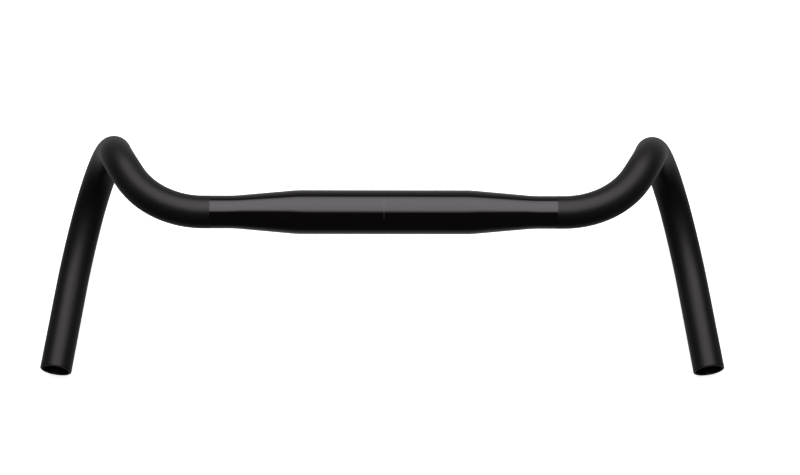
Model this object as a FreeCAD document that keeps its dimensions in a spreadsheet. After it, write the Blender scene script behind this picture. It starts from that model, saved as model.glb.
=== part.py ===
import FreeCAD, Part
import os
import Sketcher

Vector = FreeCAD.Vector

# Driving sizes in mm and degrees, with what each one is
SIZES = (
    ("clamp_diameter", 31.8, "outside diameter where the stem holds the bar"),
    ("clamp_length", 125.0, "length of the thick middle"),
    ("taper_length", 45.0, "length of each cone from the thick middle to the grip"),
    ("taper_blend_radius", 90.0, "radius that softens both ends of each cone"),
    ("grip_diameter", 23.8, "outside diameter of the tops, hooks and drops"),
    ("wall", 1.8, "wall thickness"),
    ("tops_straight", 21.8, "straight grip between cone and first bend"),
    ("shoulder_radius", 65.0, "first bend, tops to ramp: centreline radius"),
    ("shoulder_angle", 59.1, "first bend: angle"),
    ("shoulder_roll_angle", 11.0, "first bend: how far its plane dips below level"),
    ("ramp_length", 3.0, "straight between first and second bends"),
    ("brow_radius", 40.0, "second bend, ramp to hook: centreline radius"),
    ("brow_angle", 43.2, "second bend: angle"),
    ("brow_roll_angle", 73.9, "second bend: roll down from the first bend's plane"),
    ("brow_length", 3.0, "straight between second and third bends"),
    ("hook_radius", 62.0, "third bend, round the hook: centreline radius"),
    ("hook_angle", 93.8, "third bend: angle"),
    ("hook_roll_angle", 49.1, "third bend: roll on from the second bend's plane"),
    ("tail_radius", 110.0, "fourth bend, hook to drop in the hook's own plane: centreline radius"),
    ("tail_angle", 30.0, "fourth bend: angle"),
    ("drop_length", 66.0, "straight drop from the tail to the open end"),
    ("mouth_chamfer", 0.5, "broken edge, inside and outside each open end"),
)

value = {alias: number for alias, number, meaning in SIZES}
TOPS_HALF = "sizes.clamp_length / 2 + sizes.taper_length + sizes.tops_straight"

doc = FreeCAD.newDocument("drop_bar")
sizes = doc.addObject("Spreadsheet::Sheet", "sizes")
for row, (alias, number, meaning) in enumerate(SIZES, 1):
    sizes.set(f"A{row}", meaning)
    sizes.set(f"B{row}", str(number))
    sizes.setAlias(f"B{row}", alias)
doc.recompute()

body = doc.addObject("PartDesign::Body", "handlebar")
origin = {feature.Role: feature for feature in body.Origin.OriginFeatures}


def bound(sketch, constraint, text):
    """Add a constraint and bind its value to the sheet."""
    sketch.setExpression(f"Constraints[{sketch.addConstraint(constraint)}]", text)


def station(name, support, axis, **offsets):
    """A coordinate system on the tube: z along it, x to the inside of the bend, moved from its support."""
    place = body.newObject("PartDesign::CoordinateSystem", name)
    place.AttachmentSupport = (support, "")
    place.MapMode = "ObjectXY"
    place.AttachmentOffset = FreeCAD.Placement(Vector(), FreeCAD.Rotation(axis, 1))
    for path, text in offsets.items():
        place.setExpression("AttachmentOffset." + path.replace("_", "."), text)
    doc.recompute()
    return place


def tube_section(name, place):
    """The hollow grip section, square to the tube at a station."""
    sketch = body.newObject("Sketcher::SketchObject", name)
    sketch.AttachmentSupport = (place, "")
    sketch.MapMode = "ObjectXY"
    for inset, text in ((0, ""), (value["wall"], " - sizes.wall")):
        radius = value["grip_diameter"] / 2 - inset
        circle = sketch.addGeometry(Part.Circle(Vector(), Vector(0, 0, 1), radius), False)
        sketch.addConstraint(Sketcher.Constraint("Coincident", circle, 3, -1, 1))
        bound(sketch, Sketcher.Constraint("Radius", circle, radius), "sizes.grip_diameter / 2" + text)
    return sketch


def bend(name, place):
    """Turn the section about a line inside the bend. Returns the feature and the station at its end."""
    sketch = tube_section(name + "_section", place)
    radius = value[name + "_radius"]
    width = value["grip_diameter"]
    axis = Part.LineSegment(Vector(radius, -width / 2, 0), Vector(radius, width / 2, 0))
    line = sketch.addGeometry(axis, True)
    sketch.addConstraint(Sketcher.Constraint("Symmetric", line, 1, line, 2, -1))
    bound(sketch, Sketcher.Constraint("DistanceY", line, 1, line, 2, width), "sizes.grip_diameter")
    bound(sketch, Sketcher.Constraint("DistanceX", -1, 1, line, 1, radius), f"sizes.{name}_radius")
    turn = body.newObject("PartDesign::Revolution", name + "_bend")
    turn.Profile = sketch
    turn.ReferenceAxis = (sketch, ["Axis0"])
    turn.setExpression("Angle", f"sizes.{name}_angle")
    end = station(
        name + "_end",
        place,
        Vector(0, 1, 0),
        Base_x=f"sizes.{name}_radius * (1 - cos(sizes.{name}_angle * 1deg))",
        Base_z=f"sizes.{name}_radius * sin(sizes.{name}_angle * 1deg)",
        Rotation_Angle=f"sizes.{name}_angle",
    )
    return turn, end


def straight(name, place):
    """Run the section straight on from a station."""
    pad = body.newObject("PartDesign::Pad", name)
    pad.Profile = tube_section(name + "_section", place)
    pad.setExpression("Length", f"sizes.{name}_length")
    doc.recompute()
    return pad


# Right half of the tops: thick middle, cone and grip, turned about the bar's own axis
profile = body.newObject("Sketcher::SketchObject", "tops_profile")
profile.AttachmentSupport = (origin["XY_Plane"], "")
profile.MapMode = "FlatFace"
clamp_end = value["clamp_length"] / 2
cone_end = clamp_end + value["taper_length"]
tops_end = cone_end + value["tops_straight"]
blend = value["taper_blend_radius"]
ease = value["taper_length"] / 10
skins = []
for inset, less_wall in ((0, ""), (value["wall"], " - sizes.wall")):
    middle = value["clamp_diameter"] / 2 - inset
    grip = value["grip_diameter"] / 2 - inset
    # Points near their solved places: the arcs start and end about an ease from the sharp corners
    fall = (middle - grip) / 10
    points = (
        (0, middle),
        (clamp_end - ease, middle),
        (clamp_end + ease, middle - fall),
        (cone_end - ease, grip + fall),
        (cone_end + ease, grip),
        (tops_end, grip),
    )
    corners = [Vector(x, y, 0) for x, y in points]
    first, cone, last = [
        profile.addGeometry(Part.LineSegment(corners[k], corners[k + 1]), False) for k in (0, 2, 4)
    ]
    swell_arc = Part.Arc(corners[1], Vector(clamp_end, middle - fall / 4, 0), corners[2])
    sweep_arc = Part.Arc(corners[3], Vector(cone_end, grip + fall / 4, 0), corners[4])
    swell = profile.addGeometry(swell_arc, False)
    sweep = profile.addGeometry(sweep_arc, False)
    # The arc that starts the cone is drawn clockwise, so its end numbers are swapped
    profile.addConstraint(Sketcher.Constraint("Tangent", first, 2, swell, 2))
    profile.addConstraint(Sketcher.Constraint("Tangent", swell, 1, cone, 1))
    profile.addConstraint(Sketcher.Constraint("Tangent", cone, 2, sweep, 1))
    profile.addConstraint(Sketcher.Constraint("Tangent", sweep, 2, last, 1))
    for line in (first, last):
        profile.addConstraint(Sketcher.Constraint("Horizontal", line))
    for arc in (swell, sweep):
        bound(profile, Sketcher.Constraint("Radius", arc, blend), "sizes.taper_blend_radius")
    profile.addConstraint(Sketcher.Constraint("PointOnObject", first, 1, -2))
    heights = (
        (first, 1, middle, "sizes.clamp_diameter / 2" + less_wall),
        (last, 2, grip, "sizes.grip_diameter / 2" + less_wall),
    )
    for line, end, height, text in heights:
        bound(profile, Sketcher.Constraint("DistanceY", -1, 1, line, end, height), text)
    # Sharp corners where cylinder and cone would meet set the lengths
    sharp = (
        (clamp_end, middle, first, "sizes.clamp_length / 2"),
        (cone_end, grip, last, "sizes.clamp_length / 2 + sizes.taper_length"),
    )
    for x, y, line, text in sharp:
        corner = profile.addGeometry(Part.Point(Vector(x, y, 0)), True)
        profile.addConstraint(Sketcher.Constraint("PointOnObject", corner, 1, line))
        profile.addConstraint(Sketcher.Constraint("PointOnObject", corner, 1, cone))
        bound(profile, Sketcher.Constraint("DistanceX", -1, 1, corner, 1, x), text)
    bound(profile, Sketcher.Constraint("DistanceX", -1, 1, last, 2, tops_end), TOPS_HALF)
    skins.append((first, last))
for start_end, line_index in ((1, 0), (2, 1)):
    outside, inside = skins[0][line_index], skins[1][line_index]
    ends = [profile.getPoint(line, start_end) for line in (outside, inside)]
    wall = profile.addGeometry(Part.LineSegment(*ends), False)
    profile.addConstraint(Sketcher.Constraint("Coincident", wall, 1, outside, start_end))
    profile.addConstraint(Sketcher.Constraint("Coincident", wall, 2, inside, start_end))
doc.recompute()
tops = body.newObject("PartDesign::Revolution", "tops")
tops.Profile = profile
tops.ReferenceAxis = (profile, ["H_Axis"])
tops.Angle = 360
doc.recompute()

# Right side, bend by bend, in the order a tube bender makes it
shoulder_start = station(
    "shoulder_start",
    origin["YZ_Plane"],
    Vector(0, 0, 1),
    Base_z=TOPS_HALF,
    Rotation_Angle="-sizes.shoulder_roll_angle",
)
shoulder, shoulder_end = bend("shoulder", shoulder_start)
ramp = straight("ramp", shoulder_end)
brow_start = station(
    "brow_start",
    shoulder_end,
    Vector(0, 0, 1),
    Base_z="sizes.ramp_length",
    Rotation_Angle="-sizes.brow_roll_angle",
)
brow_bend, brow_end = bend("brow", brow_start)
brow = straight("brow", brow_end)
hook_start = station(
    "hook_start",
    brow_end,
    Vector(0, 0, 1),
    Base_z="sizes.brow_length",
    Rotation_Angle="-sizes.hook_roll_angle",
)
hook, hook_end = bend("hook", hook_start)
tail, tail_end = bend("tail", hook_end)
drop = straight("drop", tail_end)
mouth = station("mouth", tail_end, Vector(0, 0, 1), Base_z="sizes.drop_length")

# Left side
pair = body.newObject("PartDesign::Mirrored", "pair")
pair.Originals = [tops, shoulder, ramp, brow_bend, brow, hook, tail, drop]
pair.MirrorPlane = (origin["YZ_Plane"], [""])
body.Tip = pair
doc.recompute()

# Broken edges at both open ends
centre = mouth.Placement.Base
centres = (centre, Vector(-centre.x, centre.y, centre.z))
rims = []
for number, edge in enumerate(pair.Shape.Edges, 1):
    if isinstance(edge.Curve, Part.Circle):
        if min(edge.Curve.Center.distanceToPoint(c) for c in centres) < 0.01:
            rims.append(f"Edge{number}")
chamfer = body.newObject("PartDesign::Chamfer", "mouth_edges")
chamfer.Base = (pair, rims)
chamfer.setExpression("Size", "sizes.mouth_chamfer")
body.Tip = chamfer
doc.recompute()

# Nothing is written unless every object built
for item in doc.Objects:
    if "Invalid" in item.State or "Error" in item.State:
        raise RuntimeError(f"{item.Name} did not build: {item.State}")
if body.Shape.isNull() or not body.Shape.isValid() or len(body.Shape.Solids) != 1 or len(rims) != 4:
    raise RuntimeError("the bar is not one valid solid with two open ends")
os.makedirs("parts", exist_ok=True)
body.Shape.exportStep(f"parts/{body.Label}.step")
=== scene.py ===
"""Looks of a gravel drop handlebar: one bent tube, matte black with a polished middle."""

import math

import bmesh
import bpy
from mathutils import Matrix, Vector


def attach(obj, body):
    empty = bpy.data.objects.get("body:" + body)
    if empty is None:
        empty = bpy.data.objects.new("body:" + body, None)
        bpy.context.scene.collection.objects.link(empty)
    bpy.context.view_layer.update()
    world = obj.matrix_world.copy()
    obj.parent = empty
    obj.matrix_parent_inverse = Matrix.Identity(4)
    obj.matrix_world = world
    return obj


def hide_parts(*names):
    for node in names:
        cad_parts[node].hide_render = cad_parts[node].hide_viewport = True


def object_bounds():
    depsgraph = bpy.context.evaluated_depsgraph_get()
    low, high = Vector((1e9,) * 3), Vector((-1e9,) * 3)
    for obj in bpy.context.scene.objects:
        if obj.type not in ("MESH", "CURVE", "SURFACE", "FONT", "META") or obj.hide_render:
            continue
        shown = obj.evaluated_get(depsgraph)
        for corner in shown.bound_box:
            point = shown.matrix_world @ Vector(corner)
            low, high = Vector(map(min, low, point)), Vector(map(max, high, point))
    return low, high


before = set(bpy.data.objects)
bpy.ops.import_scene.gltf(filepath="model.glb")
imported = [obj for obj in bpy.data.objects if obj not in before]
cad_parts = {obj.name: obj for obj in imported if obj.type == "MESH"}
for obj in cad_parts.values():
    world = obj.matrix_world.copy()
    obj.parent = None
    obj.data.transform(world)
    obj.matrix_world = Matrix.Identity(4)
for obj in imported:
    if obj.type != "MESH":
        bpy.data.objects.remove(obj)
CAD_BOX = [list(corner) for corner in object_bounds()]

# Tube, in metres
CLAMP_RADIUS = 0.0159
GRIP_RADIUS = 0.0119
WALL = 0.0018
CLAMP_HALF = 0.0625
TAPER = 0.045
TAPER_BLEND = 0.090
CONE_END = CLAMP_HALF + TAPER
TOPS_STRAIGHT = 0.0218
TOPS_END = CONE_END + TOPS_STRAIGHT
MOUTH_EDGE = 0.0005

# Right side from the tops to the drop: roll, bend radius and angle, then the straight that follows
BENDS = (
    (-11.0, 0.065, 59.1, 0.003),  # shoulder
    (-73.9, 0.040, 43.2, 0.003),  # brow
    (-49.1, 0.062, 93.8, 0.0),  # hook
    (0.0, 0.110, 30.0, 0.066),  # tail
)
SHOULDER_END = TOPS_END + BENDS[0][1] * math.sin(math.radians(BENDS[0][2]))

# Mesh fineness
SIDES = 96
RING_GAP = 0.005
MOUTH_RING = 0.002
BEND_STEP = math.radians(2.0)
BLEND_STEPS = 8
EDGE_STEPS = 3
MERGE = 1e-6
# Only the mouths' rims are sharper than this
RIM_ANGLE = math.radians(60)

# Finishes along the tops, as the tube's material slots
MATTE, POLISHED, MARK = range(3)
POLISHED_HALF = 0.1244
MARK_WIDTH = 0.0005
MARK_FROM = math.radians(47)
MARK_TO = math.radians(110)

# Grain of the finishes, in metres
PIT_WIDTH = 0.0006
PIT_DEPTH = 0.00005
DYE_PATCH = 0.03
BUFFING_GAP = 0.0008
LASER_GRAIN = 0.0002

# Gloss: the oxide is clear, so its skin reflects as a dielectric, less where it is blasted
MATTE_SPECULAR = 0.375
POLISHED_SPECULAR = 0.667
TOPS_ROUGHNESS = 0.34
BENT_ROUGHNESS = 0.43
DYE_ROUGHNESS = 0.03

# Photograph, in pixels, and the camera that matches it
PHOTO_SIZE = (800, 475)
CLAMP_PIXEL = (383.9, 212.2)
PIXELS_PER_METRE = 1390.0
CAMERA_DISTANCE = 1.35
CAMERA_ELEVATION = math.radians(67.13)
CAMERA_YAW = math.radians(-0.80)
CAMERA_ROLL = math.radians(0.07)
SENSOR_MM = 36.0

# Overhead softbox: a level oval of light, from the camera to far in front of the bar
SOFTBOX_HEIGHT = 1.1
SOFTBOX_ASIDE = 0.06
SOFTBOX_HALF_WIDTH = 1.234
SOFTBOX_REAR = -0.556
SOFTBOX_FRONT = 2.88
SOFTBOX_RADIANCE = 2.58
# Share of the way out from its middle where its rim starts to darken
RIM_START = 0.82
# Its hot spot, and how far in front of that it fades to nothing
HOT_SPOT = 0.5
FADE_REACH = 2.02

# Floor sheet: half its width, and a shine of its own that keeps it white
FLOOR_HALF = 6.0
FLOOR_SHINE = 0.8
# Glow of the lit floor in front of the bar, and of the dark room elsewhere
FLOOR_GLOW = 0.455
ROOM_GLOW = 0.042
# The way to that floor, and the cosine from it where its glow ends
FLOOR_WAY = (0.0, 0.515, -0.857)
FLOOR_EDGE = 0.09


def linear(code):
    """Linear colour of an sRGB hex code."""
    channels = [int(code[k:k + 2], 16) / 255 for k in (1, 3, 5)]
    return [c / 12.92 if c <= 0.04045 else ((c + 0.055) / 1.055) ** 2.4 for c in channels] + [1.0]


def add(tree, kind, settings=None, inputs=None, links=None):
    """Add one node, set its properties and sockets, and link its sockets to others."""
    node = tree.nodes.new(kind)
    for name, value in (settings or {}).items():
        setattr(node, name, value)
    for name, value in (inputs or {}).items():
        node.inputs[name].default_value = value
    for name, socket in (links or {}).items():
        tree.links.new(socket, node.inputs[name])
    return node


def new_material(name):
    """An empty node material, with its tree and its output."""
    material = bpy.data.materials.new(name)
    material.use_nodes = True
    tree = material.node_tree
    tree.nodes.clear()
    return material, tree, add(tree, "ShaderNodeOutputMaterial")


def matte_anodised():
    """Bead-blasted, black anodised aluminium: a dyed oxide skin whose fine grain spreads light."""
    material, tree, output = new_material("matte_black_anodised_aluminium")
    place = add(tree, "ShaderNodeTexCoord").outputs["Object"]
    # Blasting leaves pits of about 0.1 mm, drawn at 0.6 mm so that they show
    pits = add(
        tree,
        "ShaderNodeTexNoise",
        inputs={"Scale": 1 / PIT_WIDTH, "Detail": 2.0},
        links={"Vector": place},
    )
    bump = add(
        tree,
        "ShaderNodeBump",
        inputs={"Strength": 0.12, "Distance": PIT_DEPTH},
        links={"Height": pits.outputs["Fac"]},
    )
    # Dye takes a little unevenly over a few centimetres
    cloud = add(
        tree,
        "ShaderNodeTexNoise",
        inputs={"Scale": 1 / DYE_PATCH, "Detail": 3.0},
        links={"Vector": place},
    )
    colour = add(tree, "ShaderNodeValToRGB", links={"Fac": cloud.outputs["Fac"]})
    colour.color_ramp.elements[0].position = 0.3
    colour.color_ramp.elements[0].color = linear("#0e0d0e")
    colour.color_ramp.elements[1].position = 0.7
    colour.color_ramp.elements[1].color = linear("#121112")
    # Bending stretches the skin, so it is rougher on the sides than on the tops
    across = add(tree, "ShaderNodeSeparateXYZ", links={"Vector": place})
    outward = add(
        tree,
        "ShaderNodeMath",
        {"operation": "ABSOLUTE"},
        links={0: across.outputs["X"]},
    )
    stretched = add(
        tree,
        "ShaderNodeMapRange",
        inputs={
            "From Min": TOPS_END,
            "From Max": SHOULDER_END,
            "To Min": TOPS_ROUGHNESS,
            "To Max": BENT_ROUGHNESS,
        },
        links={"Value": outward.outputs["Value"]},
    )
    rough = add(
        tree,
        "ShaderNodeMath",
        {"operation": "MULTIPLY_ADD"},
        inputs={1: DYE_ROUGHNESS},
        links={0: cloud.outputs["Fac"], 2: stretched.outputs["Result"]},
    )
    shader = add(
        tree,
        "ShaderNodeBsdfPrincipled",
        inputs={"Specular IOR Level": MATTE_SPECULAR, "Specular Tint": linear("#fff7fd")},
        links={
            "Base Color": colour.outputs["Color"],
            "Roughness": rough.outputs["Value"],
            "Normal": bump.outputs["Normal"],
        },
    )
    tree.links.new(shader.outputs["BSDF"], output.inputs["Surface"])
    return material


def polished_anodised():
    """Buffed, black anodised aluminium: a deep black mirror with faint lines round the tube."""
    material, tree, output = new_material("polished_black_anodised_aluminium")
    place = add(tree, "ShaderNodeTexCoord").outputs["Object"]
    # Buffing lines run round the tube, so they change along it. They lie 0.8 mm apart, coarser
    # than real ones, so that they show
    stretch = add(
        tree,
        "ShaderNodeMapping",
        inputs={"Scale": (1.0, 0.02, 0.02)},
        links={"Vector": place},
    )
    lines = add(
        tree,
        "ShaderNodeTexNoise",
        inputs={"Scale": 1 / BUFFING_GAP, "Detail": 3.0},
        links={"Vector": stretch.outputs["Vector"]},
    )
    rough = add(
        tree,
        "ShaderNodeMapRange",
        inputs={"From Min": 0.3, "From Max": 0.7, "To Min": 0.05, "To Max": 0.08},
        links={"Value": lines.outputs["Fac"]},
    )
    shader = add(
        tree,
        "ShaderNodeBsdfPrincipled",
        inputs={
            "Base Color": linear("#060302"),
            "Specular IOR Level": POLISHED_SPECULAR,
            "Specular Tint": linear("#fdf8ff"),
        },
        links={"Roughness": rough.outputs["Result"]},
    )
    tree.links.new(shader.outputs["BSDF"], output.inputs["Surface"])
    return material


def etched_mark():
    """Laser-etched aluminium oxide: the dye is burnt out, which leaves a dull grey line."""
    material, tree, output = new_material("laser_etched_grey")
    place = add(tree, "ShaderNodeTexCoord").outputs["Object"]
    # The laser's passes leave a broken grain of about 0.2 mm
    grain = add(
        tree,
        "ShaderNodeTexNoise",
        inputs={"Scale": 1 / LASER_GRAIN, "Detail": 2.0},
        links={"Vector": place},
    )
    colour = add(tree, "ShaderNodeValToRGB", links={"Fac": grain.outputs["Fac"]})
    colour.color_ramp.elements[0].color = linear("#282729")
    colour.color_ramp.elements[1].color = linear("#3a393c")
    shader = add(
        tree,
        "ShaderNodeBsdfPrincipled",
        inputs={"Roughness": 0.2, "Specular IOR Level": POLISHED_SPECULAR},
        links={"Base Color": colour.outputs["Color"]},
    )
    tree.links.new(shader.outputs["BSDF"], output.inputs["Surface"])
    return material


def carry(mesh, ring, shift):
    """Extrude a ring of edges straight along a vector and return the new ring."""
    made = bmesh.ops.extrude_edge_only(mesh, edges=ring)["geom"]
    verts = [g for g in made if isinstance(g, bmesh.types.BMVert)]
    bmesh.ops.translate(mesh, verts=verts, vec=shift)
    return [g for g in made if isinstance(g, bmesh.types.BMEdge)]


def tops_skin(mesh):
    """Right half of the tops: a softened profile, spun about the bar. Returns its open end."""
    corners = (
        (0, CLAMP_RADIUS),
        (CLAMP_HALF, CLAMP_RADIUS),
        (CONE_END, GRIP_RADIUS),
        (TOPS_END, GRIP_RADIUS),
    )
    verts = [mesh.verts.new((x, 0, radius)) for x, radius in corners]
    for pair in zip(verts, verts[1:]):
        mesh.edges.new(pair)
    cone_angle = math.atan2(CLAMP_RADIUS - GRIP_RADIUS, TAPER)
    bmesh.ops.bevel(
        mesh,
        geom=verts[1:3],
        affect="VERTICES",
        offset=TAPER_BLEND * math.tan(cone_angle / 2),
        segments=BLEND_STEPS,
        profile=0.5,
        material=-1,
    )
    for edge in mesh.edges[:]:
        cuts = int(edge.calc_length() / RING_GAP)
        if cuts:
            bmesh.ops.subdivide_edges(mesh, edges=[edge], cuts=cuts)
    bmesh.ops.spin(
        mesh,
        geom=mesh.verts[:] + mesh.edges[:],
        cent=(0, 0, 0),
        axis=(1, 0, 0),
        angle=math.tau,
        steps=SIDES,
        use_merge=True,
    )
    return [e for e in mesh.edges if e.is_boundary and min(v.co.x for v in e.verts) > CONE_END]


def side_skin(mesh, ring):
    """Bends and straights of the right side, carried on from the open end of the tops."""
    # A place has z along the tube and x to the inside of the bend
    place = Matrix(((0, 0, 1, TOPS_END), (1, 0, 0, 0), (0, 1, 0, 0), (0, 0, 0, 1)))
    for roll, radius, degrees, straight in BENDS:
        angle = math.radians(degrees)
        place = place @ Matrix.Rotation(math.radians(roll), 4, "Z")
        turned = bmesh.ops.spin(
            mesh,
            geom=ring + list(dict.fromkeys(v for e in ring for v in e.verts)),
            cent=place @ Vector((radius, 0, 0)),
            axis=place.to_3x3() @ Vector((0, 1, 0)),
            angle=angle,
            steps=round(angle / BEND_STEP),
        )["geom_last"]
        ring = [g for g in turned if isinstance(g, bmesh.types.BMEdge)]
        shift = (radius * (1 - math.cos(angle)), 0, radius * math.sin(angle))
        place = place @ Matrix.Translation(shift) @ Matrix.Rotation(angle, 4, "Y")
        if not straight:
            continue
        # The last ring lies close to the mouth, which keeps the shading even up to the edge
        along = place.to_3x3() @ Vector((0, 0, 1))
        close = min(straight, MOUTH_RING)
        steps = max(round((straight - close) / RING_GAP), 1)
        for length in [(straight - close) / steps] * steps + [close]:
            ring = carry(mesh, ring, along * length)
        place = place @ Matrix.Translation((0, 0, straight))


def handlebar():
    """The whole tube: the right skin mirrored, finished, and given its wall and soft mouths."""
    mesh = bmesh.new()
    side_skin(mesh, tops_skin(mesh))
    bmesh.ops.mirror(
        mesh,
        geom=mesh.verts[:] + mesh.edges[:] + mesh.faces[:],
        axis="X",
        merge_dist=MERGE,
    )
    for x in (-POLISHED_HALF, POLISHED_HALF, -MARK_WIDTH / 2, MARK_WIDTH / 2):
        bmesh.ops.bisect_plane(
            mesh,
            geom=mesh.verts[:] + mesh.edges[:] + mesh.faces[:],
            plane_co=(x, 0, 0),
            plane_no=(1, 0, 0),
        )
    bmesh.ops.remove_doubles(mesh, verts=mesh.verts[:], dist=MERGE)
    bmesh.ops.recalc_face_normals(mesh, faces=mesh.faces[:])
    outside = mesh.faces[:]
    for face in outside:
        middle = face.calc_center_median()
        turn = math.atan2(middle.z, -middle.y)
        if abs(middle.x) < MARK_WIDTH / 2 and MARK_FROM < turn < MARK_TO:
            face.material_index = MARK
        elif abs(middle.x) < POLISHED_HALF:
            face.material_index = POLISHED
    bmesh.ops.solidify(mesh, geom=outside, thickness=WALL)
    kept = set(outside)
    for face in mesh.faces:
        face.smooth = True
        if face not in kept:
            face.material_index = MATTE
    rims = [e for e in mesh.edges if e.calc_face_angle(0) > RIM_ANGLE]
    bmesh.ops.bevel(
        mesh,
        geom=rims,
        affect="EDGES",
        offset=MOUTH_EDGE,
        segments=EDGE_STEPS,
        profile=0.5,
        material=-1,
    )
    data = bpy.data.meshes.new("bent_tube")
    mesh.to_mesh(data)
    mesh.free()
    for material in (matte_anodised(), polished_anodised(), etched_mark()):
        data.materials.append(material)
    piece = bpy.data.objects.new("bent_tube", data)
    bpy.context.collection.objects.link(piece)
    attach(piece, "root")
    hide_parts("handlebar")


def pale_floor():
    """White paper under the bar. Reflections and bounced light pass it by: white_room has both."""
    mesh = bmesh.new()
    bmesh.ops.create_grid(mesh, x_segments=1, y_segments=1, size=FLOOR_HALF)
    bmesh.ops.translate(mesh, verts=mesh.verts[:], vec=(0, 0, CAD_BOX[0][2]))
    data = bpy.data.meshes.new("floor")
    mesh.to_mesh(data)
    mesh.free()
    material, tree, output = new_material("white_paper")
    shader = add(
        tree,
        "ShaderNodeBsdfPrincipled",
        inputs={
            "Base Color": linear("#f4f4f4"),
            "Roughness": 0.9,
            "Specular IOR Level": 0.0,
            "Emission Color": linear("#ffffff"),
            "Emission Strength": FLOOR_SHINE,
        },
    )
    tree.links.new(shader.outputs["BSDF"], output.inputs["Surface"])
    data.materials.append(material)
    floor = bpy.data.objects.new("floor", data)
    floor.visible_glossy = False
    floor.visible_diffuse = False
    bpy.context.collection.objects.link(floor)


def overhead_softbox():
    """A level, oval softbox over the bar, with a soft rim, that fades towards its front end."""
    width = 2 * SOFTBOX_HALF_WIDTH
    length = SOFTBOX_FRONT - SOFTBOX_REAR
    light = bpy.data.lights.new("overhead_softbox", "AREA")
    light.shape = "RECTANGLE"
    light.size = width
    light.size_y = length
    light.energy = SOFTBOX_RADIANCE * math.pi * width * length
    light.use_nodes = True
    tree = light.node_tree
    tree.nodes.clear()
    # The sheet's own coordinates run from 0 to 1 each way
    sheet = add(tree, "ShaderNodeNewGeometry").outputs["Parametric"]
    outward = add(
        tree,
        "ShaderNodeVectorMath",
        {"operation": "MULTIPLY_ADD"},
        inputs={1: (2, 2, 0), 2: (-1, -1, 0)},
        links={0: sheet},
    )
    reach = add(
        tree,
        "ShaderNodeVectorMath",
        {"operation": "LENGTH"},
        links={0: outward.outputs["Vector"]},
    )
    rim = add(
        tree,
        "ShaderNodeMapRange",
        inputs={"From Min": RIM_START, "From Max": 1.0, "To Min": 1.0, "To Max": 0.0},
        links={"Value": reach.outputs["Value"]},
    )
    from_spot = add(
        tree,
        "ShaderNodeVectorMath",
        {"operation": "MULTIPLY_ADD"},
        inputs={
            1: (0, length / FADE_REACH, 0),
            2: (0, (SOFTBOX_REAR - HOT_SPOT) / FADE_REACH, 0),
        },
        links={0: sheet},
    )
    squared = add(
        tree,
        "ShaderNodeVectorMath",
        {"operation": "DOT_PRODUCT"},
        links={0: from_spot.outputs["Vector"], 1: from_spot.outputs["Vector"]},
    )
    fade = add(
        tree,
        "ShaderNodeMapRange",
        inputs={"To Min": 1.0, "To Max": 0.0},
        links={"Value": squared.outputs["Value"]},
    )
    strength = add(
        tree,
        "ShaderNodeMath",
        {"operation": "MULTIPLY"},
        links={0: rim.outputs["Result"], 1: fade.outputs["Result"]},
    )
    emission = add(tree, "ShaderNodeEmission", links={"Strength": strength.outputs["Value"]})
    add(tree, "ShaderNodeOutputLight", links={"Surface": emission.outputs["Emission"]})
    lamp = bpy.data.objects.new("overhead_softbox", light)
    lamp.location = (SOFTBOX_ASIDE, (SOFTBOX_REAR + SOFTBOX_FRONT) / 2, SOFTBOX_HEIGHT)
    lamp.visible_camera = False
    bpy.context.collection.objects.link(lamp)


def white_room():
    """White behind the bar. What lights it is the floor in front, in an otherwise dark room."""
    world = bpy.data.worlds.new("white_room")
    world.use_nodes = True
    tree = world.node_tree
    tree.nodes.clear()
    way = add(tree, "ShaderNodeTexCoord").outputs["Generated"]
    facing = add(
        tree,
        "ShaderNodeVectorMath",
        {"operation": "DOT_PRODUCT"},
        inputs={1: FLOOR_WAY},
        links={0: way},
    )
    glow = add(
        tree,
        "ShaderNodeMapRange",
        inputs={"From Min": FLOOR_EDGE, "To Min": ROOM_GLOW, "To Max": FLOOR_GLOW},
        links={"Value": facing.outputs["Value"]},
    )
    room = add(
        tree,
        "ShaderNodeBackground",
        inputs={"Color": linear("#ffffff")},
        links={"Strength": glow.outputs["Result"]},
    )
    seen = add(tree, "ShaderNodeBackground", inputs={"Color": linear("#ffffff"), "Strength": 1.0})
    path = add(tree, "ShaderNodeLightPath")
    mix = add(
        tree,
        "ShaderNodeMixShader",
        links={
            0: path.outputs["Is Camera Ray"],
            1: room.outputs["Background"],
            2: seen.outputs["Background"],
        },
    )
    add(tree, "ShaderNodeOutputWorld", links={"Surface": mix.outputs["Shader"]})
    bpy.context.scene.world = world


def photograph_camera():
    """A long-lens camera behind and above the bar, placed so that the clamp is on its pixel."""
    width, height = PHOTO_SIZE
    right = Vector((1, 0, 0))
    up = Vector((0, math.sin(CAMERA_ELEVATION), math.cos(CAMERA_ELEVATION)))
    turn = Matrix((right, up, right.cross(up))).transposed()
    turn = turn @ Matrix.Rotation(CAMERA_YAW, 3, "Y") @ Matrix.Rotation(CAMERA_ROLL, 3, "Z")
    clamp_seen = Vector((
        (CLAMP_PIXEL[0] - width / 2) / PIXELS_PER_METRE,
        (height / 2 - CLAMP_PIXEL[1]) / PIXELS_PER_METRE,
        -CAMERA_DISTANCE,
    ))
    data = bpy.data.cameras.new("photograph")
    data.sensor_width = SENSOR_MM
    data.lens = SENSOR_MM * PIXELS_PER_METRE * CAMERA_DISTANCE / width
    camera = bpy.data.objects.new("photograph", data)
    camera.matrix_world = Matrix.Translation(turn @ -clamp_seen) @ turn.to_4x4()
    bpy.context.collection.objects.link(camera)
    bpy.context.scene.camera = camera


handlebar()
pale_floor()
overhead_softbox()
white_room()
photograph_camera()
bpy.context.scene.view_settings.view_transform = "Standard"
